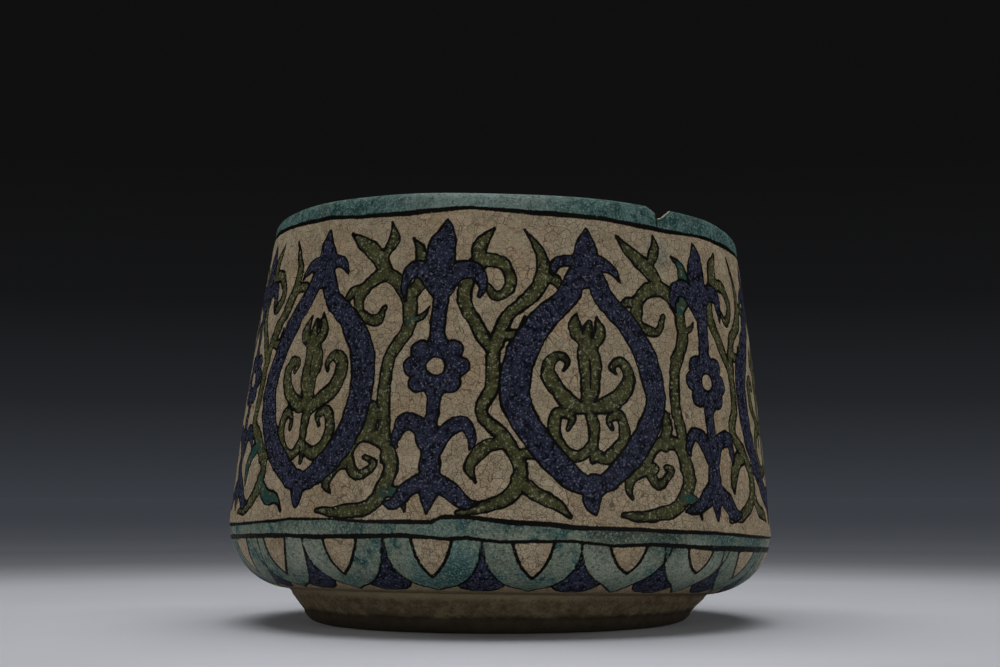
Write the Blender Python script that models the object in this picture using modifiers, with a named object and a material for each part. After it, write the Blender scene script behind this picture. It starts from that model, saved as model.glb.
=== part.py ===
"""A footed pottery bowl with a tapering wall, made as the potter puts it together.

Three clay members are luted one on another: a foot ring, a base dish and a wall with a rounded lip.
Five glaze coats are fired over them: the rim, the painted frieze, a stripe, the petal border and the
inside. Everything is turned about Z, in metres, with Z = 0 on the surface that the foot stands on.
Heights and radii are those of the finished, glazed surface.
"""

import math

import bmesh
import bpy

# The bowl as a whole
HEIGHT = 0.152
SHOULDER_RADIUS = 0.105
SHOULDER_HEIGHT = 0.037
MOUTH_RADIUS = 0.0915
WALL_BULGE = 0.0009

# Wall, lip and floor
LIP_THICKNESS = 0.0062
LIP_RISE = 0.005
WALL_THICKNESS_LOW = 0.0085
FLOOR_HEIGHT = 0.021
FLOOR_CORNER_RADIUS = 0.022

# Foot ring
FOOT_HEIGHT = 0.0123
FOOT_TOP_RADIUS = 0.0797
FOOT_TAPER = 0.0047
FOOT_HEEL_HEIGHT = 0.005
FOOT_HEEL_REACH = 0.0065
FOOT_REST_WIDTH = 0.0075
FOOT_INSIDE_BEVEL = 0.0025
BASE_BOSS_DROP = 0.0015

# Luting joint between the dish and the wall, bevelled so that the wall centres itself
WALL_SEAT_HEIGHT = 0.0335
WALL_SEAT_RISE = 0.003

# Glaze
GLAZE_THICKNESS = 0.0006
RIM_BAND_HEIGHT = 0.0078
STRIPE_TOP_HEIGHT = 0.0365
STRIPE_HEIGHT = 0.0062
PETAL_GLAZE_STOP = 0.0006

# Chip broken out of the lip: its bearing from +X, its width along the rim and its depth
CHIP_BEARING = math.radians(-52)
CHIP_WIDTH = 0.0068
CHIP_DEPTH = 0.0026
CHIP_LOW_POINT = 0.22

# Clearance between pieces that touch, and how finely the curves are divided
SEAM = 0.0003
TURNS = 64
WALL_STEPS = 5
DISH_STEPS = 8
LIP_STEPS = 6
CORNER_STEPS = 5
HEEL_STEPS = 3

# Colour and roughness
CLAY = ((0.21, 0.16, 0.11), 0.85)
CREAM_GLAZE = ((0.30, 0.25, 0.18), 0.4)
TURQUOISE_GLAZE = ((0.08, 0.17, 0.155), 0.35)


def arc(start, end, bulge, steps):
    """Points from start to end on a circular arc that stands out to the right of that line by bulge."""
    run, rise = end[0] - start[0], end[1] - start[1]
    chord = math.hypot(run, rise)
    radius = (chord * chord / 4 + bulge * bulge) / (2 * bulge)
    half = math.asin(min(1.0, chord / (2 * radius)))
    points = []
    for i in range(steps + 1):
        angle = half * (2 * i / steps - 1)
        along = chord / 2 + radius * math.sin(angle)
        out = radius * math.cos(angle) - (radius - bulge)
        points.append((
            start[0] + (run * along + rise * out) / chord,
            start[1] + (rise * along - run * out) / chord,
        ))
    return points


def ellipse(centre, radius_r, radius_z, first, last, steps):
    """Points on an ellipse between two angles, measured from the +R direction."""
    angles = [first + (last - first) * i / steps for i in range(steps + 1)]
    return [
        (centre[0] + radius_r * math.cos(a), centre[1] + radius_z * math.sin(a))
        for a in angles
    ]


def joined(*lines):
    """One line made of several, without the points that they share."""
    points = []
    for line in lines:
        for point in line:
            if not points or math.dist(point, points[-1]) > SEAM / 10:
                points.append(point)
    return points


def inset(line, depth):
    """The line moved to its left by depth, square to itself at each point."""
    moved = []
    for i, point in enumerate(line):
        before = line[max(i - 1, 0)]
        after = line[min(i + 1, len(line) - 1)]
        run, rise = after[0] - before[0], after[1] - before[1]
        length = math.hypot(run, rise)
        moved.append((point[0] - rise * depth / length, point[1] + run * depth / length))
    return moved


def span(line, low, high):
    """The stretch of a line, rising or falling all along, that lies between two heights."""
    def crossing(a, b, height):
        share = (height - a[1]) / (b[1] - a[1])
        return (a[0] + share * (b[0] - a[0]), height)

    points = []
    for a, b in zip(line, line[1:]):
        rising = b[1] > a[1]
        for height in ((low, high) if rising else (high, low)):
            if min(a[1], b[1]) < height < max(a[1], b[1]):
                points.append(crossing(a, b, height))
        if low <= b[1] <= high:
            points.append(b)
    first = line[0]
    return joined(([first] if low <= first[1] <= high else []) + points)


def outside_line():
    """The finished outside, rising from the foot joint over the shoulder to the start of the lip."""
    dish = ellipse(
        (FOOT_TOP_RADIUS, SHOULDER_HEIGHT),
        SHOULDER_RADIUS - FOOT_TOP_RADIUS,
        SHOULDER_HEIGHT - FOOT_HEIGHT,
        -math.pi / 2,
        0.0,
        DISH_STEPS,
    )
    wall = arc(
        (SHOULDER_RADIUS, SHOULDER_HEIGHT), (MOUTH_RADIUS, HEIGHT - LIP_RISE), WALL_BULGE, WALL_STEPS
    )
    return joined(dish, wall)


def lip_line():
    """The finished lip, from the outside over the top to the inside."""
    half = LIP_THICKNESS / 2
    return ellipse(
        (MOUTH_RADIUS - half, HEIGHT - LIP_RISE), half, LIP_RISE, 0.0, math.pi, LIP_STEPS
    )


def inside_line():
    """The finished inside, falling from the lip to the middle of the floor."""
    low_radius = SHOULDER_RADIUS - WALL_THICKNESS_LOW
    corner = FLOOR_CORNER_RADIUS
    wall_top = (MOUTH_RADIUS - LIP_THICKNESS, HEIGHT - LIP_RISE)
    wall = arc(wall_top, (low_radius, FLOOR_HEIGHT + corner), -WALL_BULGE, WALL_STEPS)
    floor = ellipse(
        (low_radius - corner, FLOOR_HEIGHT + corner), corner, corner, 0.0, -math.pi / 2, CORNER_STEPS
    )
    return joined(wall, floor, [(0.0, FLOOR_HEIGHT)])


def clay(line):
    """Where the clay lies under a finished line that has its clay on the left."""
    return inset(line, GLAZE_THICKNESS + SEAM)


def clay_wall_section():
    outside = span(clay(outside_line()), WALL_SEAT_HEIGHT, HEIGHT)
    inside = span(clay(inside_line()), WALL_SEAT_HEIGHT + WALL_SEAT_RISE, HEIGHT)
    return joined(outside, clay(lip_line())[1:-1], inside)


def clay_dish_section():
    inside = span(clay(inside_line()), 0.0, WALL_SEAT_HEIGHT + WALL_SEAT_RISE - SEAM)
    outside = span(clay(outside_line()), FOOT_HEIGHT, WALL_SEAT_HEIGHT - SEAM)
    boss_radius = foot_inside_radius() - SEAM
    boss_height = FOOT_HEIGHT - BASE_BOSS_DROP
    floor_height = inside[-1][1]
    return joined(
        [(0.0, floor_height)],
        inside[::-1][1:],
        outside[::-1],
        [(FOOT_TOP_RADIUS, FOOT_HEIGHT), (boss_radius, FOOT_HEIGHT)],
        [(boss_radius, boss_height), (0.0, boss_height)],
    )


def foot_rest_radius():
    return FOOT_TOP_RADIUS - FOOT_TAPER - FOOT_HEEL_REACH


def foot_inside_radius():
    return foot_rest_radius() - FOOT_REST_WIDTH - FOOT_INSIDE_BEVEL


def foot_section():
    top = FOOT_HEIGHT - SEAM
    rest = foot_rest_radius()
    inside = foot_inside_radius()
    heel = ellipse(
        (rest, FOOT_HEEL_HEIGHT), FOOT_HEEL_REACH, FOOT_HEEL_HEIGHT, 0.0, -math.pi / 2, HEEL_STEPS
    )
    return joined(
        [(inside, top), (FOOT_TOP_RADIUS, top)],
        heel,
        [(rest - FOOT_REST_WIDTH, 0.0), (inside, FOOT_INSIDE_BEVEL)],
    )


def coat(finished):
    """The section of a glaze coat under a finished line that has its clay on the left."""
    return joined(finished, inset(finished, GLAZE_THICKNESS)[::-1])


def rim_glaze_section():
    low = HEIGHT - RIM_BAND_HEIGHT
    outside = span(outside_line(), low, HEIGHT)
    inside = span(inside_line(), low, HEIGHT)
    return coat(joined(outside, lip_line(), inside))


def frieze_glaze_section():
    return coat(span(outside_line(), STRIPE_TOP_HEIGHT, HEIGHT - RIM_BAND_HEIGHT - SEAM))


def stripe_glaze_section():
    return coat(span(outside_line(), STRIPE_TOP_HEIGHT - STRIPE_HEIGHT, STRIPE_TOP_HEIGHT - SEAM))


def petal_glaze_section():
    low = FOOT_HEIGHT + GLAZE_THICKNESS + PETAL_GLAZE_STOP
    return coat(span(outside_line(), low, STRIPE_TOP_HEIGHT - STRIPE_HEIGHT - SEAM))


def inside_glaze_section():
    finished = span(inside_line(), FLOOR_HEIGHT, HEIGHT - RIM_BAND_HEIGHT - SEAM)
    return coat(finished)


def signed_area(outline):
    pairs = zip(outline, outline[1:] + outline[:1])
    return sum(a[0] * b[1] - b[0] * a[1] for a, b in pairs) / 2


def ceramic(name, colour, roughness):
    material = bpy.data.materials.new(name)
    material.use_nodes = True
    shader = material.node_tree.nodes["Principled BSDF"]
    shader.inputs["Base Color"].default_value = (*colour, 1.0)
    shader.inputs["Roughness"].default_value = roughness
    shader.inputs["Metallic"].default_value = 0.0
    return material


def turned(name, outline, look, collection):
    """A piece turned about Z from its section, which runs down the outside. A section that meets the
    axis stays open there. The look is a colour and a roughness."""
    if signed_area(outline) > 0:
        outline = outline[::-1]
    on_axis = [i for i, point in enumerate(outline) if point[0] < SEAM]
    if on_axis:
        start = next(i for i in on_axis if (i + len(outline) - 1) % len(outline) in on_axis)
        outline = outline[start:] + outline[:start]
    count = len(outline)
    last = count - 1 if on_axis else count
    mesh = bpy.data.meshes.new(name)
    mesh.from_pydata(
        [(r, 0.0, z) for r, z in outline], [(i, (i + 1) % count) for i in range(last)], []
    )
    piece = bpy.data.objects.new(name, mesh)
    collection.objects.link(piece)
    mesh.materials.append(ceramic(name, *look))
    screw = piece.modifiers.new("turn", "SCREW")
    screw.axis = "Z"
    screw.angle = math.tau
    screw.steps = TURNS
    screw.render_steps = TURNS
    screw.use_merge_vertices = True
    screw.merge_threshold = SEAM / 100
    screw.use_smooth_shade = True
    return piece


def chip_cutter(collection):
    """The broken-out chip as a wedge that points down, laid through the lip along its bearing."""
    reach = 3 * LIP_THICKNESS
    above = 2 * CHIP_DEPTH
    low_point = CHIP_WIDTH * (CHIP_LOW_POINT - 0.5)
    outline = [
        (-CHIP_WIDTH / 2, 0.0),
        (low_point, -CHIP_DEPTH),
        (CHIP_WIDTH / 2, 0.0),
        (CHIP_WIDTH / 2, above),
        (-CHIP_WIDTH / 2, above),
    ]
    curve = bpy.data.curves.new("chip_outline", "CURVE")
    curve.dimensions = "2D"
    curve.fill_mode = "BOTH"
    curve.extrude = reach / 2
    spline = curve.splines.new("POLY")
    spline.points.add(len(outline) - 1)
    for point, (x, y) in zip(spline.points, outline):
        point.co = (x, y, 0.0, 1.0)
    spline.use_cyclic_u = True
    drawn = bpy.data.objects.new("chip_outline", curve)
    collection.objects.link(drawn)
    middle = MOUTH_RADIUS - LIP_THICKNESS / 2
    drawn.location = (
        middle * math.cos(CHIP_BEARING), middle * math.sin(CHIP_BEARING), HEIGHT
    )
    drawn.rotation_euler = (math.pi / 2, 0.0, CHIP_BEARING + math.pi / 2)
    return as_mesh(drawn, "chip_cutter", collection)


def as_mesh(drawn, name, collection):
    """A curve object made a closed mesh object in the same place."""
    bpy.context.view_layer.update()
    graph = bpy.context.evaluated_depsgraph_get()
    mesh = bpy.data.meshes.new_from_object(drawn.evaluated_get(graph))
    shape = bmesh.new()
    shape.from_mesh(mesh)
    bmesh.ops.remove_doubles(shape, verts=shape.verts, dist=SEAM / 100)
    bmesh.ops.recalc_face_normals(shape, faces=shape.faces)
    shape.to_mesh(mesh)
    shape.free()
    made = bpy.data.objects.new(name, mesh)
    collection.objects.link(made)
    made.matrix_world = drawn.matrix_world.copy()
    made.hide_render = True
    made.display_type = "WIRE"
    bpy.data.objects.remove(drawn)
    return made


def cut(piece, cutter):
    chip = piece.modifiers.new("chip", "BOOLEAN")
    chip.operation = "DIFFERENCE"
    chip.solver = "EXACT"
    chip.object = cutter


def collection_named(name):
    made = bpy.data.collections.new(name)
    bpy.context.scene.collection.children.link(made)
    return made


def main():
    for old in list(bpy.data.objects):
        bpy.data.objects.remove(old)
    bowl = collection_named("pottery_bowl")
    cutters = collection_named("cutters")

    turned("foot_ring", foot_section(), CLAY, bowl)
    turned("base_dish", clay_dish_section(), CLAY, bowl)
    wall = turned("wall", clay_wall_section(), CLAY, bowl)
    rim = turned("rim_glaze", rim_glaze_section(), TURQUOISE_GLAZE, bowl)
    turned("frieze_glaze", frieze_glaze_section(), CREAM_GLAZE, bowl)
    turned("stripe_glaze", stripe_glaze_section(), TURQUOISE_GLAZE, bowl)
    turned("petal_glaze", petal_glaze_section(), CREAM_GLAZE, bowl)
    turned("inside_glaze", inside_glaze_section(), CREAM_GLAZE, bowl)

    chip = chip_cutter(cutters)
    cut(wall, chip)
    cut(rim, chip)


main()
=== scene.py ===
"""The look of a footed pottery bowl: hand-thrown forms, a painted crackle glaze and a bare clay foot.

The foot is turned from an outline of its own and the other pieces from one section line. All are moved by
the same handmade unevenness, so that neighbours meet all round. The painting is worked out as distances to
brush strokes, kept on the points of each coat and coloured in the glaze's shader. Lengths are in
millimetres; a mesh is scaled to metres as it is made.
"""

import math

import bmesh
import bpy
import numpy as np
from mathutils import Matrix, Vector

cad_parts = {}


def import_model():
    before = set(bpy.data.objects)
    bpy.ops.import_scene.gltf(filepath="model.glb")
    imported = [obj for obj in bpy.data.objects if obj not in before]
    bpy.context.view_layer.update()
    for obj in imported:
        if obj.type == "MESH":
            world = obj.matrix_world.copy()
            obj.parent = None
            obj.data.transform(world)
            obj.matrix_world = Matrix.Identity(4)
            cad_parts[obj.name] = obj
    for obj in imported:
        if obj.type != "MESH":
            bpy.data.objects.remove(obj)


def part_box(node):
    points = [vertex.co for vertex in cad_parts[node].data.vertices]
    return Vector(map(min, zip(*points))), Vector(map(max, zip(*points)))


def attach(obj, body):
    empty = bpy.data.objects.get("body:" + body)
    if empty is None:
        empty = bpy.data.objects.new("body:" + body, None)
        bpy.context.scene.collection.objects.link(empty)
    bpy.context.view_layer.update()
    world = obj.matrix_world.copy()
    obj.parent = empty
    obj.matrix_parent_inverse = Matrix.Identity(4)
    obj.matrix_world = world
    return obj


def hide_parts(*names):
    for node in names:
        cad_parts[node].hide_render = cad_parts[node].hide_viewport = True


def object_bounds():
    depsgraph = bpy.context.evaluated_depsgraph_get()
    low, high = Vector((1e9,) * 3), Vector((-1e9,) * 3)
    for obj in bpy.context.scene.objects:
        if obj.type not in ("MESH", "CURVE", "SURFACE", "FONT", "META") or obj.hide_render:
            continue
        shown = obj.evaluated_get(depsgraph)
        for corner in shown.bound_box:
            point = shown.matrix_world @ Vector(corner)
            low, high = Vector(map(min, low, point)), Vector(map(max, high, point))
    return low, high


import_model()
CAD_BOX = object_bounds()
MM = 0.001


def lowest(node):
    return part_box(node)[0].z / MM


def reach(node):
    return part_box(node)[1].x / MM


# Heights and radii of the finished bowl, from the frame
HEIGHT = CAD_BOX[1].z / MM
SHOULDER_RADIUS = reach("frieze_glaze")
FOOT_RADIUS = reach("foot_ring")
RIM_LINE_HEIGHT = lowest("rim_glaze")
PETAL_LOW_HEIGHT = lowest("petal_glaze")
SEAT_HEIGHT = lowest("wall")

# The rest of the section
GLAZE = 0.6
SEAM = 0.3
FOOT_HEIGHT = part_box("foot_ring")[1].z / MM + SEAM
FLOOR_HEIGHT = lowest("inside_glaze") + GLAZE
SHOULDER_HEIGHT = 37.0
MOUTH_RADIUS = 91.5
WALL_BULGE = 0.9
WALL_THICKNESS = 8.5
SEAT_RISE = 3.0
LIP_THICKNESS = 6.2
LIP_RISE = 5.0
FLOOR_CORNER = 22.0
FOOT_TAPER = 4.7
HEEL_HEIGHT = 5.0
HEEL_REACH = 6.5
REST_WIDTH = 7.5
FOOT_BEVEL = 2.5
FOOT_REST = FOOT_RADIUS - FOOT_TAPER - HEEL_REACH
FOOT_INSIDE = FOOT_REST - REST_WIDTH - FOOT_BEVEL
FILLET = 3.2
FILLET_BITE = 0.4
FILLET_START = 165.0
BOSS_DROP = 1.5

# Chip broken out of the lip: its depth at stations along it, and how it runs through
CHIPPED_NODES = ("rim_glaze", "wall")
CHIP_BEARING = math.radians(-52.0)
CHIP_PROFILE = [(-6.0, -0.4), (-1.0, 1.9), (-0.4, 4.3), (2.4, 3.2), (7.2, -0.4)]
CHIP_LOW_STATION = 2
CHIP_TILT = 0.25
CHIP_SKEW = 0.78
CHIP_CUT_WIDTH = 2.0 * LIP_THICKNESS
CHIP_ROUGHNESS = (0.2, 1.6)
CHIP_WAVES = 9
CHIP_CELLS = (40, 18)
CRACK_LENGTH = 3.8
CRACK_HALF_WIDTH = 0.32

# How uneven the potter's hand left it; ripples are amount and length
LEAN_HEIGHTS = (0.0, 12.0, 37.0, 152.0)
LEAN_SLOPES = (0.0, 0.0145, 0.0226, 0.0348)
SIDEWAYS = 0.022
LEAN_BACK = 0.038
SETTLED = 1.1
OUT_OF_ROUND = 0.0026
OUT_OF_ROUND_BEARING = math.radians(25.0)
DENTS = (0.28, 46)
RIDGE = 0.07
RIDGE_PITCH = 8.5
RIDGE_RISE = 0.25
LIP_WOBBLE = (0.35, 52)
FOOT_UNEVEN = (0.3, 11)
FOOT_UNEVEN_RISE = 0.25
FOOT_UNEVEN_FADE = 0.4
RIPPLE_WAVES = 6
RIPPLE_SPREAD = (0.7, 1.4)

# Seeds of the random draws
SEEDS = {
    "brush": 7, "dents": 11, "foot": 12, "lip": 13, "rim line": 21, "inside line": 22, "stripe top": 23,
    "stripe low": 24, "rim swell": 25, "top swell": 26, "low swell": 27, "chip": 31,
}

# How finely the pieces are divided
STEPS = 240
PROBES = 20 * STEPS
HEEL_SKIP = 16
FILLET_SKIP = 30
SHORT_STRETCH = 40
LONG_STRETCH = 60
COLUMNS = 750
CLAY_COLUMNS = 360
EDGE_WIDTH = 3.6
EDGE_ROWS = 9
SHARP_ANGLE = math.radians(38.0)
SURFACE_STEP = 0.3
TINY = 1e-6
# Rows on the face of each coat and behind it, and the strips that its map for baking is cut into
COAT_ROWS = {
    "rim_coat": (52, 12, 5), "frieze_coat": (124, 5, 3), "stripe_coat": (22, 3, 10),
    "petal_coat": (52, 8, 5), "inside_coat": (170, 40, 2),
}
CLAY_SPACING = {"foot_body": 0.9, "dish_body": 1.6, "wall_body": 2.4}
BAKE_MARGIN = 0.006
BAKE_SPARE = 0.04
FLOOR_SEGMENTS = 96

# Painted strokes are stations (x, height, half width); x runs to the right as seen from outside
MEDALLION_SIDE = [
    [(0, 12, 3.2), (8, 16.5, 4), (18.5, 27, 4.6), (25, 42, 4.8), (23.5, 57, 4.7),
     (16, 69.5, 4.4), (7, 79.5, 3.8), (1.5, 91, 3.2)],
    [(1, 90, 3.2), (5, 92, 2.6), (10, 90.5, 1.7), (13, 86.5, 0.3)],
]
MEDALLION_SPINE = [
    [(0, 14, 3.6), (0, 8.5, 3), (0.3, 3.6, 0.2)],
    [(0, 86, 3.4), (0.2, 93.5, 4.4), (-0.2, 99, 3), (0.3, 105, 0.2)],
]
PALMETTE_SIDE = [
    [(0, 27, 1.7), (5, 23, 2), (10.5, 25.5, 2.2), (13.5, 32, 2.1), (11, 38, 1.7),
     (7, 36.5, 1.2), (7.5, 33, 0.7)],
    [(0.5, 40, 2), (6.5, 41.5, 2.5), (13, 46, 2.7), (15, 53, 2.2), (11.5, 58, 1.7),
     (8, 55.5, 1.1), (9.5, 52.5, 0.6)],
    [(1, 62, 1.6), (4.5, 67, 2), (3.5, 73, 0.3)],
]
PALMETTE_SPINE = [
    [(0, 21, 0.8), (0.3, 32, 1.9), (0, 41, 2.2), (0, 49, 3.6), (0, 57, 4.2),
     (0, 64, 2.6), (0.2, 70, 1)],
]
PALMETTE_VEIN = [
    [(0, 47, 0.3), (0.2, 54, 0.5), (0.1, 60, 0.2)],
]
CANDELABRUM_SIDE = [
    [(0.8, 79, 2.4), (6, 86, 3), (11.5, 87, 2.8), (14.5, 81.5, 1.4), (13, 77.5, 0.4)],
    [(0.8, 24, 2.4), (5.5, 31.5, 2.8), (10.5, 33, 2.5), (13.5, 28, 1.2), (12.5, 24.5, 0.4)],
    [(0.5, 15, 3), (6, 11, 3), (11.5, 6.5, 2.2), (17, 6, 0.4)],
]
CANDELABRUM_SPINE = [
    [(0, 4, 0.5), (0, 10, 3.4), (0, 18, 3.6), (0, 28, 2.7), (0, 44, 2.4)],
    [(0, 62, 2.4), (0, 76, 2.8), (0, 86, 4), (0, 94, 4.8), (0, 100, 3),
     (0.3, 105.5, 0.2)],
]
ROSETTE_HEIGHT = 53.0
ROSETTE_RADIUS = 8.2
ROSETTE_HOLE = 3.3
ROSETTE_LOBES = 8
ROSETTE_LOBE_RADIUS = 3.4
VINE_RIGHT = [
    [(11, 3.6, 0.8), (22, 3.4, 2), (34, 7, 2.4), (40, 16.5, 2.5), (35.5, 27.5, 2.5),
     (26.5, 28.5, 2.3), (22.5, 21.5, 2), (27, 15.5, 1.8), (31.5, 19, 1.2), (29.5, 22, 0.7)],
    [(38.5, 21, 2), (36.5, 33, 2.3), (34, 45, 2.3), (35.5, 58, 2.3), (40, 68, 2.4),
     (38.5, 79.5, 2.5), (29.5, 85.5, 2.5), (20.5, 80.5, 2.2), (20.5, 71.5, 2), (27.5, 69, 1.7),
     (31, 74.5, 0.9)],
    [(38, 9, 1.8), (43.5, 8.5, 1.8), (46.5, 3.6, 0.3)],
    [(24, 20, 1.8), (17.5, 18.5, 2.4), (14, 13.5, 1.6), (15.5, 9.5, 0.3)],
    [(30, 28, 1.8), (31, 36, 2.2), (28, 41.5, 1.2), (24, 43, 0.3)],
    [(39, 78, 1.8), (43, 85.5, 2.7), (41, 94, 2), (36.5, 98.5, 0.3)],
    [(30, 85, 2), (26, 92.5, 2.8), (18, 97.5, 2.2), (11.5, 103, 0.3)],
    [(25.5, 92.5, 1.6), (29.5, 98.5, 1.9), (28, 104.5, 0.3)],
    [(21, 80, 1.8), (15, 79, 1.9), (12, 74.5, 0.3)],
    [(40.5, 70, 1.2), (44.5, 71.5, 1.1), (46.5, 75, 0.2)],
]
VINE_LEFT = [
    [(46, 3.4, 0.8), (37, 5.5, 2), (27.5, 10, 2.4), (24.5, 19, 2.5), (30, 28.5, 2.4),
     (37, 36, 2.3), (34, 47, 2.3), (33, 59, 2.4), (28.5, 71, 2.5), (19.5, 79, 2.6),
     (15.5, 88, 2.2), (17.5, 97, 1.4), (22, 103, 0.3)],
    [(33, 58, 2), (39, 67.5, 2.3), (43, 78, 2.4), (39, 89.5, 2.4), (30, 90.5, 2.2),
     (26.5, 83.5, 1.9), (31, 78, 1.6), (35, 81.5, 0.9)],
    [(25.5, 15, 2), (19.5, 9, 2.5), (12, 7.5, 1.6), (7.5, 3.4, 0.3)],
    [(26, 22, 1.8), (19, 23.5, 1.6), (15.5, 19.5, 0.3)],
    [(29, 27, 1.6), (36, 25, 2.6), (41, 18.5, 1.8), (40, 13, 0.3)],
    [(38.5, 88, 1.8), (37.5, 96.5, 2.4), (33, 103.5, 0.3)],
    [(31, 66, 1.8), (24.5, 64.5, 1.5), (22, 70, 0.3)],
    [(16.5, 85, 1.6), (10.5, 83.5, 1.6), (8.5, 78, 0.3)],
    [(42.5, 80, 1.2), (46, 84, 1.3), (46, 89, 0.2)],
]

# How the frieze repeats round the wall, and how unsteady the brush is
REPEATS = 6
FRIEZE_START = math.radians(-73.0)
UNIT_DRIFT = math.radians(1.4)
BRUSH_JITTER = 0.55
BRUSH_SWELL = 0.07
CURVE_STEPS = 7

# Petals hang from the stripe: where they stand, and stations (x, distance down, half width) of one
FRONT = -90.0
PETALS = 20
FRONT_SHIFTS = (-2.0, -1.3, 0.0, 1.1, 2.0, 1.9, 1.1)
FRONT_DEPTHS = (1.0, 0.95, 1.0, 1.0, 0.78, 0.74, 0.9)
FRONT_SLIMNESS = (0.0, 0.05, 0.0, 0.0, 0.2, 0.2, 0.1)
FRONT_BEARING = FRONT + 5.3
PETAL_OUTER = [(0, -2, 17.2), (0, 3, 16.3), (0, 9, 12.7), (0, 15.5, 6.9), (0, 20.5, 2.7),
               (0, 23.9, 0.2)]
PETAL_INNER = [(0, -1, 7.2), (0, 4, 5.7), (0, 8, 4), (0, 12, 1.8), (0, 15, 0.1)]
PETAL_OUTER_SKEW = 1.8
PETAL_INNER_SKEW = 4.6
PETAL_DEPTH = 23.9
DART = [(0, -1, 1.6), (0, 5, 4.6), (0, 10, 8.4), (0, 13.5, 10), (0, 19.5, 5.1),
        (0, 25.4, 0.2)]
DART_SKEW = 4.5

# Painted lines
FAR = 9.0
STROKE_ROOM = 4.0
LEAST_HALF_WIDTH = 0.05
NO_HOLE = -1.0
PETAL_LINE = 0.42
PETAL_INNER_LINE = 0.6
RIM_LINE = 0.85
STRIPE_TOP_LINE = 0.62
STRIPE_LOW_LINE = 0.85
LINE_WAVE = 0.16
LINE_SWELL = 0.25
ACCENT_SHARE = 0.10
ACCENT_STATIONS = 4
# How far each line wanders up (degrees round the bowl, millimetres)
RIM_DRIFT = [
    (-160, 1.8), (-140, 1), (-134, 1.4), (-124, 0.2), (-112, 0), (-98, 2.2), (-84, 1.1), (-68, 0.1),
    (-60, -0.9), (-50, -0.9), (-40, -0.1), (-30, -0.4), (60, 0.5),
]
STRIPE_TOP_DRIFT = [
    (-156, -1.1), (-140, -0.4), (-134, 0.4), (-124, 0.3), (-116, -0.4), (-102.6, -0.3), (-100.6, 1.5),
    (-96, 1.6), (-88, 0), (-80, -0.3), (-76, -1.1), (-64, -1.1), (-56, -1.5), (-44, -1.4), (-30, -1.9),
    (60, -0.2),
]
STRIPE_LOW_DRIFT = [
    (-156, 0.7), (-136, 1.2), (-128, 0.7), (-120, 0.9), (-108, 1.5), (-100, 0.5), (-96, 1), (-90, -0.2),
    (-84, 0.2), (-76, 0.5), (-68, -0.9), (-60, 0), (-52, -0.2), (-44, -0.6), (-36, -0.5), (60, 0.3),
]
INSIDE_MARGIN = 1.6
INSIDE_WAVE = 0.7
WAVE_COUNTS = (2, 3, 5, 8, 13, 21, 34, 55)
PAINTS = ("blue", "green", "accent", "teal")
FIELDS = PAINTS + ("ink",)

# Colours, linear
CREAM = (0.366, 0.324, 0.23)
CREAM_WARM = (0.332, 0.252, 0.156)
CREAM_GREY = (0.262, 0.234, 0.173)
CREAM_DULL = (0.16, 0.13, 0.084)
CREAM_PINK = (0.37, 0.285, 0.209)
STAIN = (0.12, 0.085, 0.05)
# Grime with painted shade, mixed in low on the bowl
GRIME_AND_SHADE = (0.23, 0.18, 0.108)
CRACKLE = (0.105, 0.072, 0.044)
BLUE = (0.019, 0.022, 0.043)
BLUE_DARK = (0.0015, 0.002, 0.006)
BLUE_SPECK = (0.165, 0.17, 0.22)
GREEN = (0.046, 0.046, 0.018)
GREEN_BRIGHT = (0.07, 0.069, 0.026)
GREEN_LIGHT = (0.265, 0.262, 0.165)
GREEN_DARK = (0.004, 0.005, 0.002)
ACCENT = (0.012, 0.052, 0.047)
TEAL = (0.066, 0.128, 0.118)
TEAL_DARK = (0.012, 0.048, 0.045)
TEAL_PALE = (0.25, 0.312, 0.276)
TEAL_GREY = (0.17, 0.182, 0.13)
TEAL_BROWN = (0.034, 0.041, 0.03)
TEAL_ASH = (0.25, 0.256, 0.196)
INK = (0.003, 0.0026, 0.002)
# Clay of the foot: stained brown and darker still as painted shade, and its paler and darker mottling
# likewise
CLAY_STAIN_AND_SHADE = (0.062, 0.045, 0.025)
CLAY_PALE = (0.098, 0.075, 0.044)
CLAY_DISH = (0.18, 0.14, 0.084)
CLAY_DARK = (0.01, 0.0075, 0.0045)
FRACTURE = (0.4, 0.345, 0.26)
FRACTURE_DARK = (0.23, 0.18, 0.12)
FLOOR_TINT = (0.98, 1.0, 1.075)
# Painted glow that the far floor emits
FLOOR_PAINTED_GLOW = (0.041, 0.045, 0.054)

# Mottling over a paint, layer by layer: what shows there, and the terms of its cloud as below
CREAM_CLOUDS = [
    (CREAM_WARM, 24, 3, 0.5, 0.42, 0.66), (CREAM_GREY, 7, 4, 0.6, 0.45, 0.72),
]
CREAM_SPOTS = [
    (STAIN, 1.8, 3, 0.6, 0.53, 0.78, 0, 0.65), (CREAM_WARM, 0.7, 2, 0.6, 0.44, 0.60, 0, 0.75),
]
GREEN_CLOUDS = [(GREEN, 3, 4, 0.65, 0.40, 0.60)]
GREEN_SPECKS = [(GREEN_LIGHT, 1.1, 4, 0.7, 0.51, 0.70, 0, 0.9)]
BLUE_CLOUDS = [(BLUE, 2.2, 4, 0.65, 0.38, 0.60), (BLUE_SPECK, 0.8, 3, 0.65, 0.53, 0.70, 0, 0.8)]
TEAL_CLOUDS = [(TEAL, 4, 4, 0.7, 0.41, 0.59)]
TEAL_SMOKE = [(TEAL_BROWN, 16, 3, 0.5, 0.56, 0.76, 0, 0.7)]
TEAL_FLECKS = [
    (TEAL_DARK, 3.4, 4, 0.7, 0.52, 0.64, 0, 0.45), (TEAL_PALE, 0.9, 4, 0.8, 0.48, 0.68, 0, 0.8),
    (TEAL_DARK, 1.3, 4, 0.8, 0.51, 0.67, 0, 0.88),
]
GLAZE_GRAIN = [(INK, 0.42, 2, 0.6, 0.47, 0.70, 0, 0.55)]
CLAY_CLOUDS = [(CLAY_PALE, 5, 4, 0.65, 0.36, 0.64)]
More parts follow.
